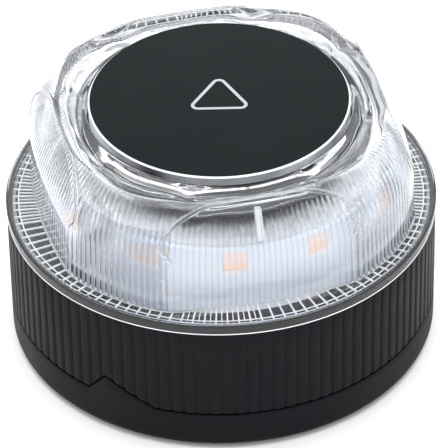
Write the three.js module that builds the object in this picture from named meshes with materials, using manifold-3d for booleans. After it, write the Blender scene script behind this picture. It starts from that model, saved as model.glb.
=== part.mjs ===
// Low round roadside warning beacon with a magnetic base: a ribbed black housing, a turning base cap
// that holds the magnets, a clear eight-faced lens, a ring of amber LEDs and a push button on top.
// Millimetres, +Z up, origin at the centre of the underside. Azimuths are degrees seen from above,
// 0 at the front (-Y) and growing towards +X.
import * as THREE from 'three';
import { mergeVertices } from 'three/addons/utils/BufferGeometryUtils.js';
import Module from 'manifold-3d';

const wasm = await Module();
wasm.setup();

// Driving dimensions
const gap = 0.3; // clearance left between pieces that touch on the real beacon
const baseRadius = 45;
const roundSegments = 60;
const sealSegments = 48;
const smallSegments = 20;

const bossRadius = 2.6;
const pilotRadius = 1.2; // a screw's hole in plastic
const clearanceRadius = 1.4; // a screw's hole in a plate or board

const capTop = 8.9; // the seam between the base cap and the housing
const capBottom = 0.6;
const capFloorTop = 3.6;
const capEdgeRound = 1.6;
const padGroove = { inner: 30, outer: 43, top: 1.5 };
const spigotTop = 13;
const spigotRadius = 40.9;
const spigotBore = 37.8;
const capSealGroove = { radius: 39.3, bottom: 9.9, top: 11.9 };
const wedge = { left: -38.5, peak: -33, right: -18.6, height: 4.9 };

const housingBore = 41.5;
const housingTop = 30.2;
const deckBottom = 25.6;
const deckTop = 27.4;
const upperRoomRadius = 37.5;
const gasketGroove = { inner: 38.6, outer: 40.4, bottom: 28.8 };
const fluteCount = 108;
const fluteDepth = 0.5;

const flangeBottom = housingTop + gap;
const flangeTop = 32.6;
const flangeInner = 34;
const lensTop = 54.4;
const lensWall = 2.4;
const lensBore = 27.4;
const collarBottom = 48.4;
const buttonSealGroove = { radius: 28.3, bottom: 50, top: 51.4 };
const wideFaceAzimuth = 13; // the centre of the front one of four wide faces, 90 degrees apart
const wideFaceCurve = 80;
const wideFaceSpread = 31; // from a wide face's middle to its edge

const carrierRadius = 34.2;
const carrierWall = 1.4;
const carrierTop = 45.2;
const carrierPlate = 1.6;
const ledCount = 12;
const ledSize = 5;
const ledHeight = 40.6; // the middle of each LED
const ledBoardFlat = 31.3; // distance of the LED board's flat sides from the axis
const firstLedAzimuth = 4;

const boardRadius = 27.2;
const boardBottom = 28.6;
const boardTop = 30.2;
const boardScrewRadius = 24.5;
const tabThickness = 1.6;
const tabScrewRadius = 30.4;
const switchTop = 36.5;
const plungerBottom = 34.6;
const plungerTop = 38.9;

const buttonTravel = 1.3;
const buttonRadius = 27;
const buttonTop = 56.3;
const buttonCeiling = 54.3;
const buttonBottom = carrierTop + buttonTravel + 0.4;
const catchTop = collarBottom - gap;
const postRadius = 3.5;

const cellRadius = 7.1;
const cellLength = 50.4;
const cellPitch = 15;
const cellHeight = 16.6;
const contactPlane = 29.3; // distance of the contact plates from the middle of the cells
const contactThickness = 0.5;
const trayWall = 1.4;

const magnetRadius = 7;
const magnetThickness = 3;
const magnetBottom = 1.8;
const magnetRing = 20;
const plateBottom = 5.3;
const plateThickness = 1;

// Materials
const finish = (color, roughness, metalness = 0, extra = {}) =>
  new THREE.MeshStandardMaterial({ color, roughness, metalness, ...extra });
const materials = {
  matteBlack: finish(0x26262b, 0.75),
  rubber: finish(0x17171a, 0.9),
  clear: finish(0xf4f7fa, 0.05, 0, { transparent: true, opacity: 0.35 }),
  glossBlack: finish(0x1f1f23, 0.2),
  white: finish(0xe9edf3, 0.45),
  amber: finish(0xf0a040, 0.3),
  greenBoard: finish(0x1d5a38, 0.5),
  whiteBoard: finish(0xf2f2ee, 0.5),
  steel: finish(0xa8abb0, 0.35, 1),
  magnet: finish(0xb9bcc2, 0.25, 1),
  ceramic: finish(0xcdbfa2, 0.5),
  darkChip: finish(0x18181a, 0.5),
  cellSleeve: finish(0x33415c, 0.35),
};

// Shape helpers
function withoutExtras(geometry) {
  const bare = geometry.clone();
  bare.deleteAttribute('normal');
  bare.deleteAttribute('uv');
  return mergeVertices(bare, 1e-4);
}

function solid(geometry) {
  const merged = withoutExtras(geometry);
  const index = [];
  for (let i = 0; i < merged.index.count; i += 3) {
    const [a, b, c] = [0, 1, 2].map((k) => merged.index.getX(i + k));
    if (a !== b && b !== c && c !== a) index.push(a, b, c);
  }
  return new wasm.Manifold(new wasm.Mesh({
    numProp: 3,
    vertProperties: new Float32Array(merged.attributes.position.array),
    triVerts: new Uint32Array(index),
  }));
}

function join(...solids) {
  return solids.reduce((whole, piece) => whole.add(piece));
}

function cut(whole, ...tools) {
  return tools.reduce((rest, tool) => rest.subtract(tool), whole);
}

function geometryOf(shape) {
  const mesh = shape.getMesh();
  const geometry = new THREE.BufferGeometry();
  geometry.setAttribute('position', new THREE.BufferAttribute(mesh.vertProperties, 3));
  geometry.setIndex(new THREE.BufferAttribute(mesh.triVerts, 1));
  return geometry;
}

// A turned piece. The profile is a closed outline of [radius, height] points, counter-clockwise.
function turned(profile, segments = roundSegments) {
  const points = profile.map(([radius, height]) => new THREE.Vector2(radius, height));
  points.push(points[0].clone());
  return solid(new THREE.LatheGeometry(points, segments).rotateX(Math.PI / 2));
}

function disc(radius, bottom, top, [x, y] = [0, 0], segments = smallSegments) {
  const profile = [[0, bottom], [radius, bottom], [radius, top], [0, top]];
  return turned(profile, segments).translate([x, y, 0]);
}

function ring(inner, outer, bottom, top, segments = roundSegments) {
  return turned([[inner, bottom], [outer, bottom], [outer, top], [inner, top]], segments);
}

function block(width, depth, bottom, top, [x, y] = [0, 0]) {
  const box = new THREE.BoxGeometry(width, depth, top - bottom);
  return solid(box.translate(x, y, (bottom + top) / 2));
}

function extruded(outline, bottom, top) {
  const settings = { depth: top - bottom, bevelEnabled: false, curveSegments: roundSegments / 2 };
  return solid(new THREE.ExtrudeGeometry(outline, settings).translate(0, 0, bottom));
}

// A closed skin over a row of rings that have the same number of points, with a fan on each end.
function lofted(rings) {
  const count = rings[0].length;
  const ends = [rings[0], rings.at(-1)].map((points) =>
    points.reduce((sum, p) => sum.add(p), new THREE.Vector3()).divideScalar(count));
  const vertices = [...rings.flat(), ...ends];
  const [firstEnd, lastEnd] = [rings.length * count, rings.length * count + 1];
  const lastRow = (rings.length - 1) * count;
  const index = [];
  for (let i = 0; i < count; i += 1) {
    const next = (i + 1) % count;
    index.push(firstEnd, next, i, lastEnd, lastRow + i, lastRow + next);
    for (let row = 0; row < lastRow; row += count) {
      index.push(row + i, row + next, row + count + next);
      index.push(row + i, row + count + next, row + count + i);
    }
  }
  const geometry = new THREE.BufferGeometry().setFromPoints(vertices);
  geometry.setIndex(index);
  return solid(geometry);
}

function around(azimuth, radius) {
  const angle = THREE.MathUtils.degToRad(azimuth);
  return [radius * Math.sin(angle), -radius * Math.cos(angle)];
}

function evenly(count, first = 0) {
  return Array.from({ length: count }, (_, i) => first + (360 / count) * i);
}

// A round wire along a helix that stands on the Z axis, its radius changing from end to end.
class Helix extends THREE.Curve {
  constructor(bottomRadius, topRadius, bottom, top, turns) {
    super();
    Object.assign(this, { bottomRadius, topRadius, bottom, top, turns });
  }

  getPoint(t, target = new THREE.Vector3()) {
    const radius = THREE.MathUtils.lerp(this.bottomRadius, this.topRadius, t);
    const angle = 2 * Math.PI * this.turns * t;
    const height = THREE.MathUtils.lerp(this.bottom, this.top, t);
    return target.set(radius * Math.cos(angle), radius * Math.sin(angle), height);
  }
}

function coil(helix, wireRadius, stepsPerTurn) {
  const section = new THREE.Shape().absarc(0, 0, wireRadius, 0, 2 * Math.PI);
  const steps = Math.round(helix.turns * stepsPerTurn);
  const settings = { extrudePath: helix, steps, curveSegments: 3 };
  return solid(new THREE.ExtrudeGeometry(section, settings));
}

function screw([x, y], headBottom, shankBottom) {
  const shankRadius = 0.9;
  const headRadius = 2;
  const headTop = headBottom + 1.2;
  const body = turned([
    [0, shankBottom], [shankRadius, shankBottom], [shankRadius, headBottom], [headRadius, headBottom],
    [headRadius * 0.8, headTop], [0, headTop],
  ], 12);
  return body.translate([x, y, 0]);
}

// Base cap: floor, rim, spigot and the wedge that lifts it out of its seat when it turns
function wedgeSolid(inner, outer, bottom, base, clearance) {
  const rampSteps = 9;
  const spread = THREE.MathUtils.radToDeg(clearance / baseRadius);
  const rings = [];
  const slice = (azimuth, top) => rings.push([
    [inner, bottom], [inner, top], [outer, top], [outer, bottom],
  ].map(([radius, height]) => new THREE.Vector3(...around(azimuth, radius), height)));
  slice(wedge.left - spread, base + clearance);
  for (let step = 0; step < rampSteps; step += 1) {
    const fall = step / rampSteps;
    const azimuth = THREE.MathUtils.lerp(wedge.peak, wedge.right, fall);
    slice(azimuth, base + wedge.height * (1 - fall) + clearance);
  }
  slice(wedge.right + spread, base + clearance);
  return lofted(rings);
}

function baseCap() {
  const edge = [0, 30, 60, 90].map((degrees) => {
    const angle = THREE.MathUtils.degToRad(degrees);
    return [
      baseRadius - capEdgeRound * (1 - Math.sin(angle)),
      capBottom + capEdgeRound * (1 - Math.cos(angle)),
    ];
  });
  const { inner: padInner, outer: padOuter, top: padTop } = padGroove;
  const { radius: grooveRadius, bottom: grooveBottom, top: grooveTop } = capSealGroove;
  const shell = turned([
    [0, capBottom], [padInner, capBottom], [padInner, padTop], [padOuter, padTop], [padOuter, capBottom],
    ...edge, [baseRadius, capTop], [spigotRadius, capTop], [spigotRadius, grooveBottom],
    [grooveRadius, grooveBottom], [grooveRadius, grooveTop], [spigotRadius, grooveTop],
    [spigotRadius, spigotTop], [spigotBore, spigotTop], [spigotBore, capFloorTop], [0, capFloorTop],
  ]);
  const [postFoot, postTop] = [capFloorTop - 0.6, plateBottom - gap];
  const bosses = magnetPlaces().map((place) => disc(magnetRadius + 1.4, postFoot, postTop, place));
  const pockets = magnetPlaces().map((place) => disc(magnetRadius + gap, magnetBottom - gap, 6, place));
  const screwPosts = plateScrewPlaces().map((place) => disc(bossRadius, postFoot, postTop, place));
  const screwHoles = plateScrewPlaces().map((place) => disc(pilotRadius, 2.4, 6, place, 16));
  const lift = wedgeSolid(housingBore + gap, baseRadius - 0.1, capTop - 1, capTop, 0);
  return cut(join(shell, ...bosses, ...screwPosts, lift), ...pockets, ...screwHoles);
}

function magnetPlaces() {
  return evenly(4, 45).map((azimuth) => around(azimuth, magnetRing));
}

function plateScrewPlaces() {
  return evenly(2).map((azimuth) => around(azimuth, magnetRing + 2));
}

function footPad() {
  const clearance = 0.2;
  const bevel = 0.4;
  const inner = padGroove.inner + clearance;
  const outer = padGroove.outer - clearance;
  const top = padGroove.top - clearance;
  return turned([
    [inner, bevel], [inner + bevel, 0], [outer - bevel, 0], [outer, bevel], [outer, top], [inner, top],
  ]);
}

function magnetPlate() {
  const top = plateBottom + plateThickness;
  const holes = plateScrewPlaces().map((place) => disc(clearanceRadius, plateBottom - 1, top + 1, place, 16));
  return cut(disc(magnetRing + magnetRadius + 1.6, plateBottom, top, [0, 0], sealSegments), ...holes);
}

function capSeal() {
  const middle = (capSealGroove.radius + housingBore) / 2;
  const height = (capSealGroove.bottom + capSealGroove.top) / 2;
  const thickness = 0.87; // half of the round section
  const section = evenly(6).map((degrees) => {
    const angle = THREE.MathUtils.degToRad(degrees);
    return [middle + thickness * Math.cos(angle), height + thickness * Math.sin(angle)];
  });
  return turned(section, sealSegments);
}

// Ribbed housing with the deck that parts the battery bay from the electronics
function housingOutline() {
  const outline = new THREE.Shape();
  const pitch = (2 * Math.PI) / fluteCount;
  const valley = baseRadius - fluteDepth;
  const corners = [[0, valley], [0.5, baseRadius]];
  for (let i = 0; i < fluteCount; i += 1) {
    for (const [share, radius] of corners) {
      const angle = (i + share) * pitch;
      const point = [radius * Math.cos(angle), radius * Math.sin(angle)];
      if (i === 0 && share === 0) outline.moveTo(...point);
      else outline.lineTo(...point);
    }
  }
  outline.closePath();
  return outline;
}

function baseHousing() {
  const bottom = capTop + gap;
  const fluted = extruded(housingOutline(), bottom, housingTop);
  const batteryBay = disc(housingBore, 0, deckBottom, [0, 0], roundSegments);
  const upperRoom = disc(upperRoomRadius, deckTop, 40, [0, 0], roundSegments);
  const groove = ring(gasketGroove.inner, gasketGroove.outer, gasketGroove.bottom, 40);
  const notch = wedgeSolid(spigotBore, baseRadius + 2, capTop - 2, bottom, gap / 2);
  const shell = cut(fluted, batteryBay, upperRoom, groove, notch);
  const bosses = boardScrewPlaces().map((place) => disc(bossRadius, deckTop - 1, boardBottom - gap, place));
  const screwPlaces = [...boardScrewPlaces(), ...tabScrewPlaces()];
  const holes = screwPlaces.map((place) => disc(pilotRadius, 20, 40, place, 16));
  return cut(join(shell, ...bosses), ...holes, leadSlot());
}

// The way for the battery leads, through the tray and the deck
function leadSlot() {
  return block(9, 4, 20, 40, [0, 17]);
}

function boardScrewPlaces() {
  return evenly(3, 30).map((azimuth) => around(azimuth, boardScrewRadius));
}

function tabScrewPlaces() {
  return evenly(4, 45).map((azimuth) => around(azimuth, tabScrewRadius));
}

// Lens. Its plan is a circle with four flatter faces. Both the circle and the faces lean in a little
// and then turn over a quarter ellipse into the flat top.
function wallAt(height, wall) {
  const { foot, shoulder, top, shoulderHeight } = wall;
  if (height <= shoulderHeight) {
    const rise = (height - flangeBottom) / (shoulderHeight - flangeBottom);
    return foot + (shoulder - foot) * rise;
  }
  const climb = Math.min(1, (height - shoulderHeight) / (wall.topHeight - shoulderHeight));
  return top + (shoulder - top) * Math.sqrt(1 - climb * climb);
}

function lensBody(inset) {
  const topHeight = lensTop - inset;
  const corner = {
    foot: 41.7 - inset, shoulder: 41 - inset, top: 35.8 - inset, shoulderHeight: 47.5 - inset, topHeight,
  };
  const wide = {
    foot: 38.4 - inset, shoulder: 38 - inset, top: 32.4 - inset, shoulderHeight: 44 - inset, topHeight,
  };
  const plan = [];
  for (let side = 0; side < 4; side += 1) {
    const [faceStart, faceEnd] = [90 * side - wideFaceSpread, 90 * side + wideFaceSpread];
    for (let step = 0; step < 8; step += 1) plan.push(THREE.MathUtils.lerp(faceStart, faceEnd, step / 8));
    const nextFace = faceStart + 90;
    for (let step = 0; step < 4; step += 1) plan.push(THREE.MathUtils.lerp(faceEnd, nextFace, step / 4));
  }
  const start = inset > 0 ? flangeBottom - 1 : flangeBottom + 1; // the outside starts within the flange
  const heights = [start, wide.shoulderHeight, corner.shoulderHeight];
  for (let turn = 18; turn <= 90; turn += 18) {
    const climb = Math.sin(THREE.MathUtils.degToRad(turn));
    heights.push(corner.shoulderHeight + (topHeight - corner.shoulderHeight) * climb);
  }
  const rings = heights.map((height) => plan.map((offset) => {
    const round = wallAt(height, corner);
    const middle = wallAt(height, wide);
    const fromFace = THREE.MathUtils.degToRad(THREE.MathUtils.euclideanModulo(offset + 45, 90) - 45);
    const shift = middle - wideFaceCurve;
    const across = shift * Math.sin(fromFace);
    const face = shift * Math.cos(fromFace) + Math.sqrt(wideFaceCurve ** 2 - across ** 2);
    return new THREE.Vector3(...around(wideFaceAzimuth + offset, Math.min(round, face)), height);
  }));
  return lofted(rings);
}

function lens() {
  const bevel = 0.5;
  const flange = turned([
    [flangeInner, flangeBottom], [baseRadius, flangeBottom], [baseRadius, flangeTop - bevel],
    [baseRadius - bevel, flangeTop], [flangeInner, flangeTop],
  ]);
  const shell = cut(join(lensBody(0), flange), lensBody(lensWall));
  const collar = ring(lensBore - 0.2, lensBore + 1.8, collarBottom, lensTop - 1);
  const passage = disc(lensBore, 40, 60, [0, 0], roundSegments);
  const groove = ring(lensBore - 1, buttonSealGroove.radius, buttonSealGroove.bottom, buttonSealGroove.top);
  return cut(join(shell, collar), passage, groove);
}

function lensGasket() {
  const clearance = 0.25;
  const [inner, outer] = [gasketGroove.inner + clearance, gasketGroove.outer - clearance];
  return ring(inner, outer, gasketGroove.bottom + clearance, flangeBottom - clearance, sealSegments);
}

// Push button: a cup with a catch lip at its foot and a post that presses the switch
function topButton() {
  const chamfer = 0.4;
  const skirtInner = buttonRadius - 1.8;
  const catchRadius = buttonRadius + 1.4;
  const postBottom = plungerTop + gap;
  return turned([
    [0, postBottom], [postRadius, postBottom], [postRadius, buttonCeiling], [skirtInner, buttonCeiling],
    [skirtInner, buttonBottom], [catchRadius, buttonBottom], [catchRadius, catchTop],
    [buttonRadius, catchTop], [buttonRadius, buttonTop - chamfer], [buttonRadius - chamfer, buttonTop],
    [0, buttonTop],
  ]);
}

function buttonSeal() {
  const clearance = 0.25;
  const { radius, bottom, top } = buttonSealGroove;
  return ring(buttonRadius + 0.2, radius - clearance, bottom + clearance, top - clearance, sealSegments);
}

function buttonSpring() {
  const wireRadius = 0.55;
  const coilRadius = 7.5;
  const low = carrierTop + gap + wireRadius;
  const high = buttonCeiling - gap - wireRadius;
  return coil(new Helix(coilRadius, coilRadius, low, high, 5), wireRadius, 12);
}

function switchBody() {
  const wellBottom = plungerBottom - buttonTravel - gap;
  const well = disc(2.1, wellBottom, switchTop + 1, [0, 0], 16);
  return cut(block(8, 8, boardTop + gap, switchTop), well);
}

function switchPlunger() {
  return disc(1.8, plungerBottom, plungerTop);
}

// LED carrier: a drum with a window for each LED, four screw tabs and a hole for the button's post
function windowTool(azimuth) {
  const tool = block(6, 8, ledHeight - 2.9, ledHeight + 2.7, [0, -carrierRadius]);
  return tool.rotate([0, 0, azimuth]);
}

function ledCarrier() {
  const inner = carrierRadius - carrierWall;
  const drumBottom = deckTop + gap;
  const drum = turned([
    [inner, drumBottom], [carrierRadius, drumBottom], [carrierRadius, carrierTop - 0.4],
    [carrierRadius - 0.4, carrierTop], [5, carrierTop], [5, carrierTop - carrierPlate],
    [inner, carrierTop - carrierPlate],
  ]);
  const tabs = evenly(4, 45).map((azimuth) =>
    block(6, 5.4, drumBottom, drumBottom + tabThickness, [0, -30.6]).rotate([0, 0, azimuth]));
  const holes = tabScrewPlaces().map((place) => disc(pilotRadius, 20, 32, place, 16));
  return cut(join(drum, ...tabs), ...holes, ...evenly(ledCount, firstLedAzimuth).map(windowTool));
}

function ledBoard() {
  const thickness = 0.8;
  const corner = (distance, azimuth) =>
    new THREE.Vector2(...around(azimuth, distance / Math.cos(Math.PI / ledCount)));
  const azimuths = evenly(ledCount, firstLedAzimuth + 180 / ledCount);
  const outline = new THREE.Shape(azimuths.map((azimuth) => corner(ledBoardFlat, azimuth)));
  const inner = azimuths.map((azimuth) => corner(ledBoardFlat - thickness, azimuth));
  outline.holes.push(new THREE.Path(inner));
  return extruded(outline, 33, ledHeight + 2.6);
}

function led(azimuth) {
  const half = ledSize / 2;
  const depth = 1.3;
  const middle = ledBoardFlat + 0.25 + depth / 2;
  const body = block(ledSize, depth, ledHeight - half, ledHeight + half, [0, -middle]);
  const face = disc(2.1, 0, 0.3).rotate([90, 0, 0]).translate([0, -middle - depth / 2 + 0.05, ledHeight]);
  return join(body, face).rotate([0, 0, azimuth]);
}

// Electronics on the main board
function mainBoard() {
  const holes = boardScrewPlaces().map((place) => disc(clearanceRadius, 20, 40, place, 16));
  return cut(disc(boardRadius, boardBottom, boardTop, [0, 0], sealSegments), ...holes);
}

function chip(width, depth, height, place) {
  return block(width, depth, boardTop + gap, boardTop + gap + height, place);
}

function powerInductor() {
  const outline = new THREE.Shape();
  evenly(8, 22.5).forEach((azimuth, i) => {
    const point = around(azimuth, 3.3);
    if (i === 0) outline.moveTo(...point);
    else outline.lineTo(...point);
  });
  return extruded(outline, boardTop + gap, boardTop + 3.6).translate([-8.5, 14, 0]);
}

// Battery bay: three cells in series, in a tray that clips under the deck
function batteryTray() {
  const top = deckBottom - gap;
  const [width, depth] = [3 * cellPitch + 0.6, 2 * contactPlane + 1.6];
  const outer = block(width + 2 * trayWall, depth + 2 * trayWall, 13.6, top);
  const pocket = block(width, depth, 10, top - 1.1);
  return cut(outer, pocket, leadSlot());
}

function cell() {
  const half = cellLength / 2;
  const chamfer = 0.5;
  const shoulder = half - 1;
  const nub = 2.75;
  return turned([
    [0, -half], [cellRadius - chamfer, -half], [cellRadius, -half + chamfer],
    [cellRadius, shoulder - chamfer], [cellRadius - chamfer, shoulder], [nub, shoulder],
    [nub, half], [0, half],
  ], 32);
}

function contactPlate(width, bumpPlace) {
  const plate = block(width, contactThickness, 14, 23, [0, contactPlane + contactThickness / 2]);
  if (bumpPlace === undefined) return plate;
  const overlap = 0.1;
  const reach = contactPlane - cellLength / 2 - gap + overlap;
  const bump = disc(3, 0, reach).rotate([90, 0, 0]);
  return join(plate, bump.translate([bumpPlace, contactPlane + overlap, cellHeight]));
}

function batterySpring() {
  const wireRadius = 0.4;
  const low = cellLength / 2 + gap + wireRadius;
  const high = contactPlane - gap - wireRadius;
  return coil(new Helix(2.6, 4.8, low, high, 3), wireRadius, 10);
}

// The assembly
const beacon = new THREE.Group();

function place(name, shape, material, parent = beacon) {
  const mesh = new THREE.Mesh(geometryOf(shape), material);
  mesh.name = name;
  parent.add(mesh);
  return mesh;
}

place('base_cap', baseCap(), materials.matteBlack);
place('foot_pad', footPad(), materials.rubber);
place('magnet_plate', magnetPlate(), materials.steel);
place('cap_seal', capSeal(), materials.rubber);
magnetPlaces().forEach((spot, i) => {
  const magnet = disc(magnetRadius, magnetBottom, magnetBottom + magnetThickness, spot, 40);
  place(`magnet_${i + 1}`, magnet, materials.magnet);
});
plateScrewPlaces().forEach((spot, i) => {
  const headBottom = plateBottom + plateThickness + gap;
  place(`plate_screw_${i + 1}`, screw(spot, headBottom, 3), materials.steel);
});

place('base_housing', baseHousing(), materials.matteBlack);
place('lens_gasket', lensGasket(), materials.rubber);
place('lens', lens(), materials.clear);

place('led_carrier', ledCarrier(), materials.white);
place('led_board', ledBoard(), materials.whiteBoard);
evenly(ledCount, firstLedAzimuth).forEach((azimuth, i) => {
  place(`led_${i + 1}`, led(azimuth), materials.amber);
});
tabScrewPlaces().forEach((spot, i) => {
  const headBottom = deckTop + tabThickness + 2 * gap;
  place(`carrier_screw_${i + 1}`, screw(spot, headBottom, 26), materials.steel);
});

place('main_board', mainBoard(), materials.greenBoard);
boardScrewPlaces().forEach((spot, i) => {
  place(`board_screw_${i + 1}`, screw(spot, boardTop + gap, 26), materials.steel);
});
place('modem_module', chip(16, 20, 2.4, [-13, 0]), materials.steel);
place('satellite_antenna', chip(16, 16, 4, [14, 0]), materials.ceramic);
place('mobile_antenna', chip(18, 4, 3.2, [-4, -20]), materials.darkChip);
place('sim_chip', chip(6, 5, 0.9, [2, 11.5]), materials.darkChip);
place('driver_chip', chip(5, 5, 1, [6, -12.5]), materials.darkChip);
place('power_inductor', powerInductor(), materials.darkChip);
place('power_capacitor', disc(2.6, boardTop + gap, 36.6, [8.5, 15.5]), materials.darkChip);
place('switch_body', switchBody(), materials.darkChip);
place('switch_plunger', switchPlunger(), materials.white);

place('top_button', topButton(), materials.glossBlack);
place('button_seal', buttonSeal(), materials.rubber);
place('button_spring', buttonSpring(), materials.steel);

place('battery_tray', batteryTray(), materials.matteBlack);
[-1, 0, 1].forEach((column, i) => {
  const bay = new THREE.Group();
  bay.position.x = column * cellPitch;
  // Neighbouring cells point opposite ways. A cell's spring presses on its flat end.
  const facing = i % 2 === 0 ? 1 : -1;
  const battery = place(`battery_${i + 1}`, cell(), materials.cellSleeve, bay);
  battery.position.z = cellHeight;
  battery.rotation.x = (-Math.PI / 2) * facing;
  const spring = place(`battery_spring_${i + 1}`, batterySpring(), materials.steel, bay);
  spring.position.z = cellHeight;
  spring.rotation.x = (Math.PI / 2) * facing;
  beacon.add(bay);
});

const endWidth = 12;
const bridgeWidth = cellPitch + endWidth;
const plates = [
  { name: 'contact_minus', width: endWidth, x: -cellPitch, back: false },
  { name: 'contact_bridge_1', width: bridgeWidth, x: -cellPitch / 2, back: true, bump: -cellPitch / 2 },
  { name: 'contact_bridge_2', width: bridgeWidth, x: cellPitch / 2, back: false, bump: cellPitch / 2 },
  { name: 'contact_plus', width: endWidth, x: cellPitch, back: true, bump: 0 },
];
for (const { name, width, x, back, bump } of plates) {
  const plate = place(name, contactPlate(width, bump), materials.steel);
  plate.position.x = x;
  if (!back) plate.rotation.z = Math.PI;
}

export default beacon;
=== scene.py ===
"""Looks of a low round roadside warning beacon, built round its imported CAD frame.

The shape helpers take millimetres and degrees and give metres. +Z is up and the origin is at the
centre of the underside. Azimuth 0 is the front (-Y) and azimuths grow towards +X.
"""

import math
import random

import bmesh
import bpy
import numpy as np
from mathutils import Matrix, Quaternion, Vector


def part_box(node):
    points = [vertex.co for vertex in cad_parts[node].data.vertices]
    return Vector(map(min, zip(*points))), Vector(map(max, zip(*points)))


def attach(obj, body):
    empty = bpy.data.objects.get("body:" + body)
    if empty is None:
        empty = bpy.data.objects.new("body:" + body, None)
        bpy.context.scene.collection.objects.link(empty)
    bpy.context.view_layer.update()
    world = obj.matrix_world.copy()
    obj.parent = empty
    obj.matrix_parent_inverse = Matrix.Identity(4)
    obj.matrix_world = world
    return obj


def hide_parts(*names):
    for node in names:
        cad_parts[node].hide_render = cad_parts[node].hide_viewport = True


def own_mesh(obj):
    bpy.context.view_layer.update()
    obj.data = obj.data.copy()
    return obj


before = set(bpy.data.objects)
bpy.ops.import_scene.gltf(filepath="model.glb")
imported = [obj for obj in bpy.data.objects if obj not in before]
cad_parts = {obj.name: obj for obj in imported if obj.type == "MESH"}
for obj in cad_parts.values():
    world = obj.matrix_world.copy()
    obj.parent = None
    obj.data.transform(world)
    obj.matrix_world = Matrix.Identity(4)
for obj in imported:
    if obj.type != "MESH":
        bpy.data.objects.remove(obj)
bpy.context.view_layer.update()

MM = 0.001

# Camera
CAMERA_ELEVATION = math.radians(38.48)
CAMERA_DISTANCE = 0.8186
CAMERA_HEIGHT_AIM = 0.01575
CAMERA_TILT = math.radians(0.42)  # aims a little above the point that it circles
CAMERA_PAN = math.radians(-0.027)
CAMERA_ROLL = math.radians(-1.117)
FOCAL_LENGTH = 310.7

# Sizes read from the frame, in millimetres
BASE_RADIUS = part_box("base_cap")[1].x / MM
CAP_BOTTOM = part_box("base_cap")[0].z / MM
HOUSING_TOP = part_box("base_housing")[1].z / MM
FLANGE_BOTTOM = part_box("lens")[0].z / MM
BUTTON_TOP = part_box("top_button")[1].z / MM

# Lens
RIM_RISE = 0.7  # how far the wavy moulded rim stands above the plain CAD lens
LENS_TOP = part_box("lens")[1].z / MM + RIM_RISE
LENS_WALL = 2.4
LENS_BORE = 27.4
LENS_COLUMNS = 768
INNER_RIBS = 192
RIB_COLUMNS = LENS_COLUMNS // INNER_RIBS
CREASE = 0.5  # how far the outer creases between faces and lobes are rounded
INNER_CREASE = 1.2
FOOT_FILLET = 0.3
WIDE_AZIMUTH = 13.0  # the middle of the front one of four wide faces
WIDE_CURVE = 110.0
WIDE_POWER = 1.2
WIDE = dict(foot=38.4, shoulder=38.0, top=33.4, shoulder_height=44.7)
CORNER = dict(foot=41.7, shoulder=41.0, top=34.2, shoulder_height=46.5)
LOBE_GAIN = 1.7  # how much further out the top is at a lobe's middle than at its ends
FLAT_SHARE = 29.5  # degrees from a wide face's middle to where the lobe's darker painted shade on the ribs starts
LIP_RADIUS = LENS_BORE + 0.6
LIP_TOP = 54.8  # the lens's inner edge, next to the button
CEILING = LENS_TOP - LENS_WALL
CEILING_START = 29.8
COLLAR_RADIUS = 29.2
COLLAR_BOTTOM = 48.4
BUTTON_SEAL_RADIUS, BUTTON_SEAL_BOTTOM, BUTTON_SEAL_TOP = 28.3, 50.0, 51.4
ARCH_FOOT = 44.5  # where the bead round a wide face starts
ARCH_HALF_WIDTH = 0.55
ARCH_RISE = 0.24
ARCH_FADE = 46.0  # above this height the moulded bead along a crease gets fainter
DISH_DEPTH, LOBE_DISH, SCALLOP_DISH = 0.45, 0.85, 0.7  # the top's dip, and what a lobe and a scallop add
SCALLOP_PLACE, SCALLOP_WIDTH = 25.0, 4.0  # degrees from a wide face's middle
INNER_RIB_DEPTH = 0.2
RIB_FADE = 1.2  # the inner ribs fade out over this height below the ceiling
# Of these looks, the white ones with a glow are painted highlights, and the grey plates, the grey tint and
# the dark rib strips are painted shade.
LENS_LOOKS = ("clear", "painted_highlight", "painted_shade_grey", "hazy", "satin", "shadow", "painted_rib_shade")

# Flange and the tongue-and-slot joint below it
FLANGE_TOP = 32.6
FLANGE_RECESS = 31.1  # underside of the flange between its rim and the lens wall
FLANGE_CIRCLE = 42.3
FLANGE_LINES = 114
FLANGE_LINE_END = 43.6
TONGUE_INNER, TONGUE_OUTER, TONGUE_TOP = 43.95, 44.35, 32.0
SLOT_INNER, SLOT_OUTER, SLOT_TOP = 43.75, 44.5, TONGUE_TOP + 0.15

# Base
SEAM = 9.05
SEAM_GAP = 0.3
WEDGE_LEFT, WEDGE_PEAK, WEDGE_RIGHT, WEDGE_HEIGHT = -38.5, -33.0, -18.6, 4.9
WALL_RIBS = 108
RIB_DEPTH = 0.3
WALL_COLUMNS = WALL_RIBS * 9
HOUSING_BORE = 41.5
DECK_BOTTOM, DECK_TOP = 25.6, 27.4
UPPER_ROOM = 37.5
GASKET_INNER, GASKET_OUTER, GASKET_DEPTH = 38.6, 40.4, 1.4
LEDGE_DEPTH = 0.5  # how far the ring inside the tongue lies below the housing's top
PAD_INNER, PAD_OUTER, PAD_TOP = 30.0, 43.0, 1.5
CAP_EDGE_ROUND = 1.6
CAP_FLOOR_TOP = 3.6
SPIGOT_BORE, SPIGOT_RADIUS, SPIGOT_TOP = 37.8, 40.9, 13.0
CAP_SEAL_RADIUS, CAP_SEAL_BOTTOM, CAP_SEAL_TOP = 39.3, 9.9, 11.9

# Screws, magnets and the slot for the battery leads
BOSS_RADIUS = 2.6
PILOT_RADIUS = 1.2
TAB_SCREW_RING = 30.4
BOARD_SCREW_RING = 24.5
PLATE_SCREW_RING = 22
MAGNET_RING = 20
MAGNET_POCKET, MAGNET_POCKET_FLOOR = 7.3, 1.5
MAGNET_POST = 8.4
BOARD_BOSS_TOP, CAP_BOSS_TOP = 28.3, 5.0
LEAD_SLOT = dict(width=9, depth=4, middle=(0, 17))

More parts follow.
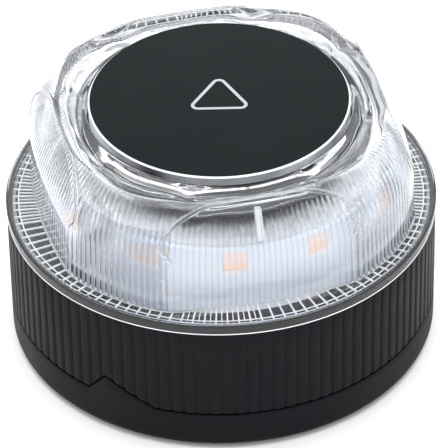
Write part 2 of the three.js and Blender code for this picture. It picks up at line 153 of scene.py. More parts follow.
# LED carrier
CARRIER_RADIUS = 34.2
CARRIER_INNER = CARRIER_RADIUS - 1.4
CARRIER_FOOT = 37.2
CARRIER_BOTTOM = 27.7
CARRIER_RIM = 43.9
CARRIER_TOP = 45.2
CARRIER_PLATE = 1.6
CARRIER_TAB, CARRIER_TAB_DEPTH = dict(width=6, depth=5.4, middle=(0, -30.6)), 1.6
FIRST_LED, LED_COUNT, LED_HEIGHT = 4.0, 12, 40.6
LED_WINDOW = 5.4

# Button and its spring
BUTTON_RADIUS = 27.0
BUTTON_BOTTOM = 46.9
BUTTON_CEILING = 54.3
BUTTON_BORE = 25.2
BUTTON_POST_RADIUS, BUTTON_POST_BOTTOM = 3.5, 39.2
CATCH_RADIUS, CATCH_TOP = 28.4, 48.1
BUTTON_CHAMFER = 0.35
BUTTON_SIDE = 3.0  # height of the band below the disc, painted with patches of reflection
BUTTON_LOOKS = ("button_gloss", "painted_rim_highlight", "mark_print", "painted_side_reflection")
SPRING_LOW, SPRING_RISE = 46.05, 7.4  # the wire's middle at the lowest turn, and from there to the highest
SPRING_RADIUS, SPRING_WIRE = 7.5, 0.55
SPRING_TURNS = 5


def polar(azimuth, radius, height):
    """Points in metres, from degrees and millimetres."""
    angle = np.radians(azimuth)
    x, y, z = np.broadcast_arrays(radius * np.sin(angle), -radius * np.cos(angle), height)
    return np.stack([x, y, z], axis=-1) * MM


def smooth_step(low, high, value):
    t = np.clip((value - low) / (high - low), 0, 1)
    return t * t * (3 - 2 * t)


def smooth_min(a, b, width):
    """The lower of a and b, rounded over width where they cross."""
    h = np.clip(0.5 + 0.5 * (b - a) / width, 0, 1)
    return b * (1 - h) + a * h - width * h * (1 - h)


# Mesh helpers
def mesh_object(name, points, faces, material_indices=None, crease=40):
    mesh = bpy.data.meshes.new(name)
    mesh.from_pydata(points, [], faces)
    if material_indices is not None:
        mesh.polygons.foreach_set("material_index", material_indices)
    mesh.shade_smooth()
    mesh.set_sharp_from_angle(angle=math.radians(crease))
    obj = bpy.data.objects.new(name, mesh)
    bpy.context.scene.collection.objects.link(obj)
    return obj


def ring_faces(rows, columns):
    """Quads over closed rings of points. The profile runs anticlockwise, with radius right and height up."""
    i, j = np.meshgrid(np.arange(rows), np.arange(columns), indexing="ij")
    up, on = (i + 1) % rows, (j + 1) % columns
    quads = np.stack([i * columns + j, i * columns + on, up * columns + on, up * columns + j], axis=-1)
    return quads.reshape(-1, 4).tolist()


def swept(name, radius, height, azimuth, crease=40):
    """A skin swept round the axis. radius and height are arrays of profile rows by azimuth columns."""
    rows, columns = np.broadcast(radius, height).shape
    points = polar(azimuth[None, :], radius, height).reshape(-1, 3)
    return mesh_object(name, points.tolist(), ring_faces(rows, columns), crease=crease)


def profile_arrays(rows, azimuth):
    """Arrays of radius and height, rows by columns, from pairs that may vary with the azimuth."""
    return [np.array([row[part] + 0 * azimuth for row in rows]) for part in (0, 1)]


def bar(levels):
    """A closed bar. Each level is (inner radius, outer radius, first azimuth, last azimuth, height)."""
    points = []
    for inner, outer, first, last, height in levels:
        for radius, azimuth in ((inner, first), (outer, first), (outer, last), (inner, last)):
            points.append(polar(azimuth, radius, height).tolist())
    return prism_faces(points, 4, len(levels))


def prism(outline, bottom, top):
    """A closed block over an anticlockwise outline of (x, y) points."""
    points = [(x * MM, y * MM, z * MM) for z in (bottom, top) for x, y in outline]
    return prism_faces(points, len(outline), 2)


def prism_faces(points, count, levels):
    """The two ends and the sides of a block whose points are listed level by level."""
    faces = [tuple(range(count))[::-1], tuple(range(count * (levels - 1), count * levels))]
    for level in range(levels - 1):
        first = level * count
        for k in range(count):
            on = (k + 1) % count
            faces.append((first + k, first + on, first + count + on, first + count + k))
    return points, faces


def tube(middles, outwards, half_width, rise, sides=8):
    """A closed tube along a path in metres. Its rise is measured in the direction of outwards."""
    along = np.gradient(middles, axis=0)
    along /= np.linalg.norm(along, axis=1)[:, None]
    outwards = outwards - (outwards * along).sum(1)[:, None] * along
    outwards /= np.linalg.norm(outwards, axis=1)[:, None]
    across = np.cross(outwards, along)
    turns = np.radians(np.arange(sides) * 360.0 / sides)[None, :, None]
    rings = (middles[:, None] + across[:, None] * half_width * MM * np.cos(turns)
             + outwards[:, None] * rise * MM * np.sin(turns))
    return prism_faces(rings.reshape(-1, 3).tolist(), sides, len(middles))


def joined(parts):
    """Points and faces of several closed bodies as one list of each, with each face's material index."""
    points, faces, indices = [], [], []
    for index, (body_points, body_faces) in parts:
        first = len(points)
        points += list(body_points)
        faces += [tuple(first + k for k in face) for face in body_faces]
        indices += [index] * len(body_faces)
    return points, faces, indices


def circle(radius, middle=(0, 0), count=40):
    turn = np.arange(count) * 2 * np.pi / count
    return list(zip(middle[0] + radius * np.cos(turn), middle[1] + radius * np.sin(turn)))


def oblong(width, depth, middle=(0, 0)):
    """A rectangle's corners."""
    x, y = middle
    return [(x + a * width / 2, y + b * depth / 2) for a, b in ((-1, -1), (1, -1), (1, 1), (-1, 1))]


def turned_outline(outline, turn):
    """An outline turned anticlockwise about the axis by turn degrees."""
    c, s = math.cos(math.radians(turn)), math.sin(math.radians(turn))
    return [(c * u - s * v, s * u + c * v) for u, v in outline]


def place_at(azimuth, radius):
    """The (x, y) of a spot, in millimetres."""
    x, y, _ = polar(azimuth, radius, 0) / MM
    return float(x), float(y)


def carved(obj, prisms, operation="DIFFERENCE"):
    """Cuts blocks out of a piece, or adds them to it with UNION."""
    points, faces, _ = joined([(0, body) for body in prisms])
    tool = mesh_object("tool", points, faces)
    modifier = obj.modifiers.new("carve", "BOOLEAN")
    modifier.object = tool
    modifier.operation = operation
    modifier.solver = "EXACT"
    graph = bpy.context.evaluated_depsgraph_get()
    mesh = bpy.data.meshes.new_from_object(obj.evaluated_get(graph))
    obj.modifiers.clear()
    obj.data = mesh
    mesh.shade_smooth()
    mesh.set_sharp_from_angle(angle=math.radians(40))
    bpy.data.objects.remove(tool)


def columns_of(count):
    """Evenly spaced azimuths all the way round."""
    return np.arange(count) * 360.0 / count


def rounded(corners):
    """An outline with its corners rounded. Each corner is (radius, height, size of the round)."""
    points = []
    count = len(corners)
    for k, (x, y, size) in enumerate(corners):
        here = np.array([x, y], float)
        if size <= 0:
            points.append(here)
            continue
        before = np.array(corners[(k - 1) % count][:2], float) - here
        after = np.array(corners[(k + 1) % count][:2], float) - here
        start = here + before / np.linalg.norm(before) * size
        end = here + after / np.linalg.norm(after) * size
        for t in np.linspace(0, 1, 5):
            points.append((1 - t) ** 2 * start + 2 * t * (1 - t) * here + t * t * end)
    return np.array(points)


def turned(name, corners, count, crease=40):
    """A piece turned round the axis. A corner on the axis closes it there."""
    azimuth = columns_of(count)
    obj = swept(name, *profile_arrays(rounded(corners), azimuth), azimuth, crease)
    mesh = bmesh.new()
    mesh.from_mesh(obj.data)
    bmesh.ops.remove_doubles(mesh, verts=mesh.verts, dist=1e-7)
    mesh.to_mesh(obj.data)
    mesh.free()
    return obj


def turned_ring(corners, count=240):
    """Points and faces of a plain ring, from its outline."""
    outline = np.array(corners)
    azimuth = columns_of(count)
    points = polar(azimuth[None, :], outline[:, :1], outline[:, 1:]).reshape(-1, 3)
    return points.tolist(), ring_faces(len(corners), count)


# Materials
def new_material(name):
    material = bpy.data.materials.new(name)
    material.use_nodes = True
    nodes, links = material.node_tree.nodes, material.node_tree.links
    return material, nodes, links, nodes["Principled BSDF"]


def noise(nodes, links, scale, detail):
    place = nodes.new("ShaderNodeTexCoord")
    texture = nodes.new("ShaderNodeTexNoise")
    texture.inputs["Scale"].default_value = scale
    texture.inputs["Detail"].default_value = detail
    links.new(place.outputs["Object"], texture.inputs["Vector"])
    return texture


def spread(nodes, links, source, low, high, lowest=0.3, highest=0.7):
    """Maps a source's range, at first a texture's middle range, onto low to high."""
    ramp = nodes.new("ShaderNodeMapRange")
    ramp.inputs["From Min"].default_value = lowest
    ramp.inputs["From Max"].default_value = highest
    ramp.inputs["To Min"].default_value = low
    ramp.inputs["To Max"].default_value = high
    links.new(source, ramp.inputs["Value"])
    return ramp.outputs[0]


def tint(nodes, links, source, dark, light, lowest=0.3, highest=0.7):
    """Maps a source's range onto two colours."""
    ramp = nodes.new("ShaderNodeValToRGB")
    ramp.color_ramp.elements[0].position = lowest
    ramp.color_ramp.elements[1].position = highest
    ramp.color_ramp.elements[0].color = (*dark, 1)
    ramp.color_ramp.elements[1].color = (*light, 1)
    links.new(source, ramp.inputs["Fac"])
    return ramp.outputs["Color"]


def calculate(nodes, links, operation, *terms):
    """A Math node. Each term is a number or another node's output."""
    node = nodes.new("ShaderNodeMath")
    node.operation = operation
    for socket, term in zip(node.inputs, terms):
        if isinstance(term, (int, float)):
            socket.default_value = term
        else:
            links.new(term, socket)
    return node.outputs[0]


def bump(nodes, links, source, shader, distance, strength=1.0):
    node = nodes.new("ShaderNodeBump")
    node.inputs["Distance"].default_value = distance
    node.inputs["Strength"].default_value = strength
    links.new(source.outputs[0], node.inputs["Height"])
    links.new(node.outputs["Normal"], shader.inputs["Normal"])


def moulded(name, dark, light, rough, grain=2200.0, depth=0.00002, specular=0.5):
    """Moulded plastic or rubber: faint flow marks in the colour, a fine grain and uneven gloss."""
    material, nodes, links, shader = new_material(name)
    flow = noise(nodes, links, 60.0, 3.0).outputs[0]
    fine = noise(nodes, links, grain, 2.0)
    links.new(tint(nodes, links, flow, dark, light), shader.inputs["Base Color"])
    links.new(spread(nodes, links, flow, *rough), shader.inputs["Roughness"])
    bump(nodes, links, fine, shader, depth)
    shader.inputs["Specular IOR Level"].default_value = specular
    return material


def metal(name, dark, light, rough):
    """Plated or drawn metal: fine marks in the gloss and slight tarnish."""
    material, nodes, links, shader = new_material(name)
    stain = noise(nodes, links, 90.0, 3.0).outputs[0]
    fine = noise(nodes, links, 900.0, 3.0)
    links.new(tint(nodes, links, stain, dark, light), shader.inputs["Base Color"])
    links.new(spread(nodes, links, fine.outputs[0], *rough), shader.inputs["Roughness"])
    bump(nodes, links, fine, shader, 0.000004)
    shader.inputs["Metallic"].default_value = 1.0
    return material


def clear_plastic(name, rough, color=(0.985, 0.99, 1.0)):
    """Clear moulded polycarbonate with a very faint waviness from moulding."""
    material, nodes, links, shader = new_material(name)
    flow = noise(nodes, links, 70.0, 1.5)
    shader.inputs["Base Color"].default_value = (*color, 1)
    shader.inputs["Transmission Weight"].default_value = 1.0
    shader.inputs["IOR"].default_value = 1.5
    links.new(spread(nodes, links, flow.outputs[0], *rough), shader.inputs["Roughness"])
    bump(nodes, links, flow, shader, 0.00012, 0.6)
    return material


def painted_glow(material, color, strength):
    """Adds a painted glow: emission on a part that is no lamp, which brightens it where it lies in shade
    inside the lens.
    """
    shader = material.node_tree.nodes["Principled BSDF"]
    shader.inputs["Emission Color"].default_value = (*color, 1)
    shader.inputs["Emission Strength"].default_value = strength
    return material


def streaks_and_shade(name):
    """Reflector plastic with radial streaks, and painted shade: dark near the middle, white at the rim and a
    little darker behind the wide faces.
    """
    material, nodes, links, shader = new_material(name)
    place = nodes.new("ShaderNodeTexCoord")
    split = nodes.new("ShaderNodeSeparateXYZ")
    links.new(place.outputs["Object"], split.inputs["Vector"])
    angle = calculate(nodes, links, "ARCTAN2", split.outputs["Y"], split.outputs["X"])
    flat = nodes.new("ShaderNodeVectorMath")
    flat.operation = "MULTIPLY"
    flat.inputs[1].default_value = (1, 1, 0)
    links.new(place.outputs["Object"], flat.inputs[0])
    reach = nodes.new("ShaderNodeVectorMath")
    reach.operation = "LENGTH"
    links.new(flat.outputs["Vector"], reach.inputs[0])
    strokes = nodes.new("ShaderNodeCombineXYZ")
    links.new(calculate(nodes, links, "MULTIPLY", angle, 26.0), strokes.inputs["X"])
    links.new(calculate(nodes, links, "MULTIPLY", reach.outputs["Value"], 220.0), strokes.inputs["Y"])
    texture = nodes.new("ShaderNodeTexNoise")
    texture.inputs["Scale"].default_value = 1.0
    texture.inputs["Detail"].default_value = 3.0
    links.new(strokes.outputs[0], texture.inputs["Vector"])
    # Painted shade: a little darker behind each wide face.
    lobes = calculate(nodes, links, "MULTIPLY_ADD", angle, 4.0, math.radians(-4 * WIDE_AZIMUTH))
    wave = calculate(nodes, links, "COSINE", lobes)
    lobe_shade_and_streaks = calculate(nodes, links, "MULTIPLY_ADD", wave, -0.06, texture.outputs[0])
    # Painted shade that rises from dark at the middle to white at the rim.
    climb = spread(nodes, links, reach.outputs["Value"], 0.0, 0.5, 0.027, 0.0338)
    total = calculate(nodes, links, "ADD", lobe_shade_and_streaks, climb)
    color = tint(nodes, links, total, (0.17, 0.172, 0.185), (0.88, 0.9, 0.94), 0.3, 0.85)
    links.new(color, shader.inputs["Base Color"])
    shader.inputs["Roughness"].default_value = 0.35
    bump(nodes, links, texture, shader, 0.00005)
    return material


def led_plastic(name):
    """LED resin: pale at the top and orange lower down."""
    material, nodes, links, shader = new_material(name)
    place = nodes.new("ShaderNodeTexCoord")
    split = nodes.new("ShaderNodeSeparateXYZ")
    links.new(place.outputs["Generated"], split.inputs["Vector"])
    grain = noise(nodes, links, 900.0, 3.0).outputs[0]
    edge = calculate(nodes, links, "MULTIPLY_ADD", grain, 0.25, split.outputs["Z"])
    color = tint(nodes, links, edge, (0.86, 0.6, 0.4), (0.84, 0.7, 0.66), 0.42, 0.68)
    links.new(color, shader.inputs["Base Color"])
    links.new(spread(nodes, links, grain, 0.25, 0.45), shader.inputs["Roughness"])
    return material


def circuit_board(name):
    """Green solder mask over copper tracks."""
    material, nodes, links, shader = new_material(name)
    place = nodes.new("ShaderNodeTexCoord")
    tracks = nodes.new("ShaderNodeTexBrick")
    tracks.inputs["Scale"].default_value = 260.0
    tracks.inputs["Mortar Size"].default_value = 0.03
    tracks.inputs["Color1"].default_value = (0.008, 0.085, 0.033, 1)
    tracks.inputs["Color2"].default_value = (0.012, 0.115, 0.045, 1)
    tracks.inputs["Mortar"].default_value = (0.03, 0.2, 0.08, 1)
    links.new(place.outputs["Object"], tracks.inputs["Vector"])
    links.new(tracks.outputs["Color"], shader.inputs["Base Color"])
    flow = noise(nodes, links, 300.0, 3.0).outputs[0]
    links.new(spread(nodes, links, flow, 0.22, 0.4), shader.inputs["Roughness"])
    bump(nodes, links, tracks, shader, 0.00002)
    return material


def make_materials():
    """Every look by its short name. Colours are (dark, light), gloss is a range of roughness."""
    black = ((0.004, 0.0037, 0.0056), (0.0054, 0.005, 0.0074))
    white = moulded("white_plastic", (0.76, 0.8, 0.87), (0.82, 0.86, 0.925), (0.35, 0.5), 1500.0, 0.00001)
    # White for the bright lines in the clear lens: painted highlights, which also get a painted glow below.
    painted_highlight = moulded("painted_highlight_clear", (0.8, 0.82, 0.84), (0.93, 0.94, 0.96), (0.3, 0.5), 2600.0, 0.00001)
    thin = 0.000002  # depth of the grain on printed and polished surfaces
    return {
        "matte_black": moulded("matte_black", *black, (0.42, 0.58), 1800.0, specular=0.1),
        "rubber": moulded("rubber", (0.008, 0.008, 0.009), (0.014, 0.014, 0.015), (0.7, 0.9), 1400.0, 0.00003,
                          specular=0.3),
        "button_gloss": moulded("button_gloss", (0.0058, 0.0082, 0.0088), (0.0068, 0.0094, 0.01), (0.1, 0.18),
                                2600.0, 0.000003, specular=0.06),
        # A white ring on the disc's bevel: a painted highlight.
        "painted_rim_highlight": moulded("painted_rim_highlight", (0.82, 0.83, 0.85), (0.92, 0.93, 0.95), (0.1, 0.2), 2600.0, thin),
        # Patches from near black to pale grey on the disc's side: painted reflections.
        "painted_side_reflection": moulded("painted_side_reflection", (0.02, 0.021, 0.024), (0.55, 0.56, 0.6), (0.15, 0.3), 240.0,
                               thin),
        "mark_print": moulded("mark_print", (0.3, 0.31, 0.32), (0.38, 0.39, 0.4), (0.4, 0.5), 2600.0, thin),
        "clear": clear_plastic("clear_plastic", (0.0, 0.03)),
        "hazy": clear_plastic("hazy_plastic", (0.13, 0.2)),
        # A grey tint over a rough clear finish: painted shade on strips of the inner wall.
        "satin": clear_plastic("shaded_rough_clear_plastic", (0.16, 0.3), (0.74, 0.76, 0.8)),
        # A darker grey tint: painted shade on the ribs of the lobes.
        "painted_rib_shade": clear_plastic("painted_rib_shade_plastic", (0.2, 0.3), (0.4, 0.41, 0.45)),
        "shadow": moulded("shadow_line", (0.004, 0.004, 0.006), (0.006, 0.006, 0.009), (0.5, 0.6), 2600.0,
                          thin, specular=0.05),
        "streaks_and_shade": streaks_and_shade("streaks_and_shade_reflector"),
        # The white of the bright lines gets a painted glow.
        "painted_highlight": painted_glow(painted_highlight, (0.95, 0.97, 1.0), 0.25),
        # Opaque grey for the plates under the flange: painted shade.
        "painted_shade_grey": moulded("painted_shade_grey_clear", (0.25, 0.255, 0.27), (0.5, 0.51, 0.53), (0.3, 0.5), 2600.0, 0.00001),
        # The white carrier gets a painted glow that brightens its shaded lower part inside the lens.
        "white": painted_glow(white, (0.8, 0.87, 1.0), 0.24),
        # The LEDs get a painted glow as well.
        "amber": painted_glow(led_plastic("amber_led"), (1.0, 0.86, 0.8), 0.27),
        "strip": moulded("led_strip", (0.82, 0.83, 0.82), (0.9, 0.9, 0.88), (0.4, 0.55)),
        "board": circuit_board("solder_mask"),
        "steel": metal("plated_steel", (0.52, 0.53, 0.55), (0.68, 0.69, 0.71), (0.2, 0.4)),
        "magnet": metal("nickel_magnet", (0.6, 0.6, 0.6), (0.72, 0.72, 0.71), (0.12, 0.25)),
        "ceramic": moulded("antenna_ceramic", (0.55, 0.47, 0.34), (0.66, 0.57, 0.42), (0.4, 0.6)),
        "chip": moulded("dark_component", (0.012, 0.012, 0.013), (0.03, 0.03, 0.032), (0.35, 0.55)),
        "sleeve": moulded("cell_sleeve", (0.02, 0.035, 0.08), (0.03, 0.05, 0.11), (0.2, 0.35)),
    }


# Lens
def wall_radius(height, wall, inset, top_gain, power):
    """Radius of a lens wall: a slight draft up to its shoulder, then a curve to the top.

    The curve is a straight slope when power is 1 and a quarter ellipse when power is 2."""
    top_height = LENS_TOP - inset
    shoulder_height = wall["shoulder_height"] - inset
    foot, shoulder, top = (wall[part] - inset for part in ("foot", "shoulder", "top"))
    draft = foot + (shoulder - foot) * (height - FLANGE_BOTTOM) / (shoulder_height - FLANGE_BOTTOM)
    climb = np.clip((height - shoulder_height) / (top_height - shoulder_height), 0, 1)
    lean = (1 - climb**power) ** (1 / power)
    return np.where(height <= shoulder_height, draft, top + top_gain + (shoulder - top - top_gain) * lean)


def lens_walls(azimuth, height, inset):
    """Radii of the two surfaces whose inner parts make the lens: the round wall and the wide face."""
    from_middle = from_face_middle(azimuth)
    lobe = smooth_step(22, 45, from_middle)
    round_wall = wall_radius(height, CORNER, inset, LOBE_GAIN * lobe, 1.35 + 0.25 * lobe)
    shift = wall_radius(height, WIDE, inset, 0, WIDE_POWER) - WIDE_CURVE
    turn = np.radians(from_middle)
    face = shift * np.cos(turn) + np.sqrt(WIDE_CURVE**2 - (shift * np.sin(turn)) ** 2)
    return round_wall, face


def outer_wall(azimuth, height):
    """Radius of the outside: a round wall with four flatter faces, and a bead along each crease."""
    round_wall, face = lens_walls(azimuth, height, 0)
    apart = round_wall - face
    climb = np.clip((height - ARCH_FADE) / (LENS_TOP - ARCH_FADE), 0, 1)
    bead = 0.26 * np.exp(-((apart / 0.5) ** 2)) - 0.14 * np.exp(-(((apart - 1.2) / 0.5) ** 2))
    start = smooth_step(ARCH_FOOT, ARCH_FOOT + 3.0, height)
    return smooth_min(round_wall, face, CREASE) + bead * start * (1 - 0.6 * climb)


def inner_wall(azimuth, height):
    return smooth_min(*lens_walls(azimuth, height, LENS_WALL), INNER_CREASE)


def lobe_share(azimuth):
    """0 at the middle of a wide face and 1 at the middle of a lobe."""
    return 0.5 - 0.5 * np.cos(np.radians(4 * (azimuth - WIDE_AZIMUTH)))


def from_face_middle(azimuth):
    """Degrees from the middle of the nearest wide face."""
    return np.abs((azimuth - WIDE_AZIMUTH + 45.0) % 90.0 - 45.0)


def ripple(azimuth, seed, orders, size):
    """An uneven wave round the axis, as sink marks leave in thick clear plastic."""
    chance = random.Random(seed)
    total = 0 * azimuth
    for order in orders:
        total = total + chance.uniform(0.5, 1) * np.cos(np.radians(order * azimuth + chance.uniform(0, 360)))
    return total * size / len(orders)


# The lens's outline is a list of (radius, height, look). The look is that of the faces after the point.
def with_look(points, look):
    return [(radius, height, look) for radius, height in points]


def flange_edge_rows():
    """The flange's underside, its rounded edge and its top."""
    return with_look(rounded([(SLOT_OUTER, FLANGE_BOTTOM, 0), (BASE_RADIUS, FLANGE_BOTTOM, 0.12),
                              (BASE_RADIUS, FLANGE_TOP, 0.45), (44.0, FLANGE_TOP, 0)]), "clear")


def outside_rows(azimuth):
    """A fillet on the flange, then the outside of the lens up to its top edge."""
    foot = outer_wall(azimuth, FLANGE_TOP)
    points = []
    for turn in np.radians(np.linspace(0, 90, 5)):
        points.append((foot + FOOT_FILLET * (1 - np.sin(turn)),
                       FLANGE_TOP + FOOT_FILLET * (1 - np.cos(turn))))
    shoulder = CORNER["shoulder_height"]
    heights = list(np.linspace(FLANGE_TOP + FOOT_FILLET, shoulder, 12)[1:])
    heights += [shoulder + (LENS_TOP - shoulder) * math.sin(math.radians(a))
                for a in np.linspace(0, 90, 18)[1:]]
    points += [(outer_wall(azimuth, height), height) for height in heights]
    return with_look(points, "clear")


def dish_rows(azimuth):
    """The top, which dips unevenly between its outer edge and the lip round the button."""
    edge = outer_wall(azimuth, LENS_TOP)
    scallop = np.exp(-((from_face_middle(azimuth) - SCALLOP_PLACE) / SCALLOP_WIDTH) ** 2)
    dish = DISH_DEPTH + LOBE_DISH * lobe_share(azimuth) + SCALLOP_DISH * scallop
    dish = dish + ripple(azimuth, 3, (4, 5, 7, 9, 11, 14), 0.55)
    points = []
    for share in np.linspace(0, 1, 15)[1:-1]:
        sink = dish * math.sin(math.pi * share) ** 0.9
        points.append((edge + (LIP_RADIUS - edge) * share, LENS_TOP + (LIP_TOP - LENS_TOP) * share**3 - sink))
    return with_look(points, "clear")


def collar_rows():
    """The lip, the collar round the button with the groove for its seal, and the ceiling's start."""
    points = rounded([
        (LIP_RADIUS, LIP_TOP, 0), (LENS_BORE, LIP_TOP, 0.3),
        (LENS_BORE, BUTTON_SEAL_TOP, 0), (BUTTON_SEAL_RADIUS, BUTTON_SEAL_TOP, 0),
        (BUTTON_SEAL_RADIUS, BUTTON_SEAL_BOTTOM, 0), (LENS_BORE, BUTTON_SEAL_BOTTOM, 0),
        (LENS_BORE, COLLAR_BOTTOM, 0.15), (COLLAR_RADIUS, COLLAR_BOTTOM, 0.15),
        (COLLAR_RADIUS, CEILING - 0.5, 0.6), (CEILING_START, CEILING - 0.5, 0),
    ])
    return with_look(points[:-1], "clear") + with_look(points[-1:], "hazy")


def ceiling_rows(azimuth):
    """The uneven underside of the top."""
    edge = inner_wall(azimuth, CEILING)
    sag = 0.4 + ripple(azimuth, 8, (6, 9, 14, 19, 26), 0.6)
    points = []
    for share in (0.2, 0.4, 0.6, 0.8):
        points.append((CEILING_START + (edge - CEILING_START) * share,
                       CEILING - 0.5 + 0.5 * share - sag * math.sin(math.pi * share)))
    return with_look(points, "hazy")


def inside_rows(azimuth):
    """The ribbed inner wall, from the ceiling down to the flange's underside."""
    ribs = 0.5 - 0.5 * np.cos(np.radians(azimuth * INNER_RIBS))
    shoulder = CORNER["shoulder_height"] - LENS_WALL
    heights = [shoulder + (CEILING - shoulder) * math.sin(math.radians(a)) for a in np.linspace(90, 0, 14)]
    heights += list(np.linspace(shoulder, FLANGE_BOTTOM, 10)[1:])
    # The wall's last row is white with a painted glow: a painted highlight along its foot.
    looks = ["upper wall"] * 8 + ["lower wall"] * 14 + ["painted_highlight"]
    rows = []
    for height, look in zip(heights, looks):
        below_top = float(smooth_step(CEILING + 0.01, CEILING - RIB_FADE, height))
        above_rim = float(smooth_step(CARRIER_RIM - 0.5, CARRIER_RIM + 1.5, height))
        plain_face = (1 - above_rim) * (1 - smooth_step(24.0, 33.0, from_face_middle(azimuth)))
        depth = below_top * (INNER_RIB_DEPTH + 0.06 * above_rim) * (1 - 0.5 * plain_face)
        rows.append((inner_wall(azimuth, height) - ribs * depth, height, look))
    return rows


def recess_rows(azimuth):
    """The flange's underside: a recess, then the slot for the housing's tongue."""
    inside = inner_wall(azimuth, FLANGE_BOTTOM) + 1.0
    # The first face, next to the wall's foot, is white with a painted glow: a painted highlight.
    return [(inside, FLANGE_BOTTOM, "painted_highlight"), (inside, FLANGE_RECESS, "clear"),
            (SLOT_INNER, FLANGE_RECESS, "clear"), (SLOT_INNER, SLOT_TOP, "clear"),
            (SLOT_OUTER, SLOT_TOP, "shadow")]


def lens_rows(azimuth):
    """The lens's closed outline at each azimuth, from its rim round the outside and back inside."""
    return (flange_edge_rows() + outside_rows(azimuth) + dish_rows(azimuth) + collar_rows()
            + ceiling_rows(azimuth) + inside_rows(azimuth) + recess_rows(azimuth))


def face_look(look, from_middle, column):
    """The look of one face of the skin. On the inner wall a grey strip of painted shade marks each rib; on
    the lobes' lower wall the whole wall is painted grey, with darker strips.
    """
    on_rib = column % RIB_COLUMNS
    if look == "upper wall" or (look == "lower wall" and from_middle < FLAT_SHARE):
        return "satin" if on_rib < 1 else "hazy"
    if look == "lower wall":
        return "painted_rib_shade" if on_rib < 2 else "satin"
    return look


def flange_ribs():
    """Moulded ribs under the flange: radial lines, white with a painted glow as painted highlights, and an
    opaque grey plate in each outer cell as painted shade.

    Near azimuths 0, 90, 180 and 270 a finer line lies between each two lines."""
    painted_highlight, painted_shade_grey = LENS_LOOKS.index("painted_highlight"), LENS_LOOKS.index("painted_shade_grey")
    low, high = FLANGE_RECESS - 0.55, FLANGE_RECESS - 0.25
    pitch = 360.0 / FLANGE_LINES
    parts = []

    def line(azimuth, end, half_width):
        start = float(inner_wall(azimuth, FLANGE_BOTTOM)) + 1.3
        half = math.degrees(half_width)
        return painted_highlight, bar([(start, end, azimuth - half, azimuth + half, z) for z in (low, high)])

    for i in range(FLANGE_LINES):
        azimuth = (i + 0.35) * pitch
        parts.append(line(azimuth, FLANGE_LINE_END, 0.16 / 43.0))
        middle = azimuth + pitch / 2
        if from_face_middle(middle + WIDE_AZIMUTH) < 12.0:
            parts.append(line(middle, FLANGE_CIRCLE, 0.09 / 41.0))
        # Each plate is opaque grey: painted shade in the flange's outer cells.
        plate = (azimuth + 0.16 * pitch, azimuth + 0.84 * pitch)
        levels = [(FLANGE_CIRCLE + 0.65, FLANGE_LINE_END, *plate, z) for z in (low, high - 0.05)]
        parts.append((painted_shade_grey, bar(levels)))
    return parts


def flange_circles():
    """The fine circle across the flange's lines, and the bead along its lower edge, both white with a painted
    glow: painted highlights.
    """
    painted_highlight = LENS_LOOKS.index("painted_highlight")
    rings = []
    for inner, outer, low, high in (
            (FLANGE_CIRCLE - 0.12, FLANGE_CIRCLE + 0.12, FLANGE_RECESS - 0.2, FLANGE_RECESS - 0.08),
            (SLOT_OUTER + 0.1, BASE_RADIUS - 0.04, FLANGE_BOTTOM - 0.22, FLANGE_BOTTOM - 0.04)):
        rings.append((painted_highlight, turned_ring([(inner, low), (outer, low), (outer, high), (inner, high)])))
    return rings


def gate_ribs():
    """Upright ribs on the lens's inner wall: one on each wide face and one at its left corner, white with a
    painted glow as painted highlights.
    """
    parts = []
    for face in range(4):
        middle = WIDE_AZIMUTH + 90 * face
        for azimuth, width, heights in ((middle, 1.4, np.linspace(45.6, 51.4, 12)),
                                        (middle - 31.5, 0.9, np.linspace(FLANGE_TOP, 38.5, 4))):
            half = math.degrees(width / 2 / 37.0)
            levels = []
            for height in heights:
                wall = float(inner_wall(azimuth, height)) - 0.32
                levels.append((wall - 0.6, wall, azimuth - half, azimuth + half, height))
            parts.append((LENS_LOOKS.index("painted_highlight"), bar(levels)))
    return parts


def arch_path(middle):
    """Points along the edge of a wide face: up its left crease, along the top and down its right crease."""
    offsets = np.linspace(0.0, 40.0, 401)
    left = []
    for height in np.linspace(ARCH_FOOT, LENS_TOP - 0.1, 30):
        round_wall, face = lens_walls(middle + offsets, height, 0)
        left.append((offsets[int(np.argmax(round_wall <= face))], height))
    end = left[-1][0]
    top = [(offset, LENS_TOP - 0.05) for offset in np.linspace(end, -end, 24)[1:-1]]
    path = left + top + [(-offset, height) for offset, height in reversed(left)]
    return [(middle - offset, float(outer_wall(middle - offset, height)), height) for offset, height in path]


def arch_beads():
    """A slim raised bead round each wide face, rounded across and closed at both ends."""
    parts = []
    for face in range(4):
        azimuths, radii, heights = np.array(arch_path(WIDE_AZIMUTH + 90 * face)).T
        outwards = polar(azimuths, 1.0, 0.6)
        parts.append((LENS_LOOKS.index("hazy"),
                      tube(polar(azimuths, radii, heights), outwards, ARCH_HALF_WIDTH, ARCH_RISE)))
    return parts


def make_lens(materials):
    azimuth = columns_of(LENS_COLUMNS)
    rows = lens_rows(azimuth)
    radius, height = profile_arrays(rows, azimuth)
    skin = polar(azimuth[None, :], radius, height).reshape(-1, 3).tolist()
    faces = ring_faces(len(rows), LENS_COLUMNS)
    parts = [(0, (skin, faces))] + flange_circles() + flange_ribs() + gate_ribs() + arch_beads()
    lens = mesh_object("lens_shell", *joined(parts), crease=35)
    for look in LENS_LOOKS:
        lens.data.materials.append(materials[look])
    from_middle = from_face_middle(azimuth)
    for face in lens.data.polygons[:len(faces)]:
        row, column = divmod(face.index, LENS_COLUMNS)
        look = face_look(rows[row][2], from_middle[column], column)
        face.material_index = LENS_LOOKS.index(look)
    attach(lens, "housing")
    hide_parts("lens")
    return lens


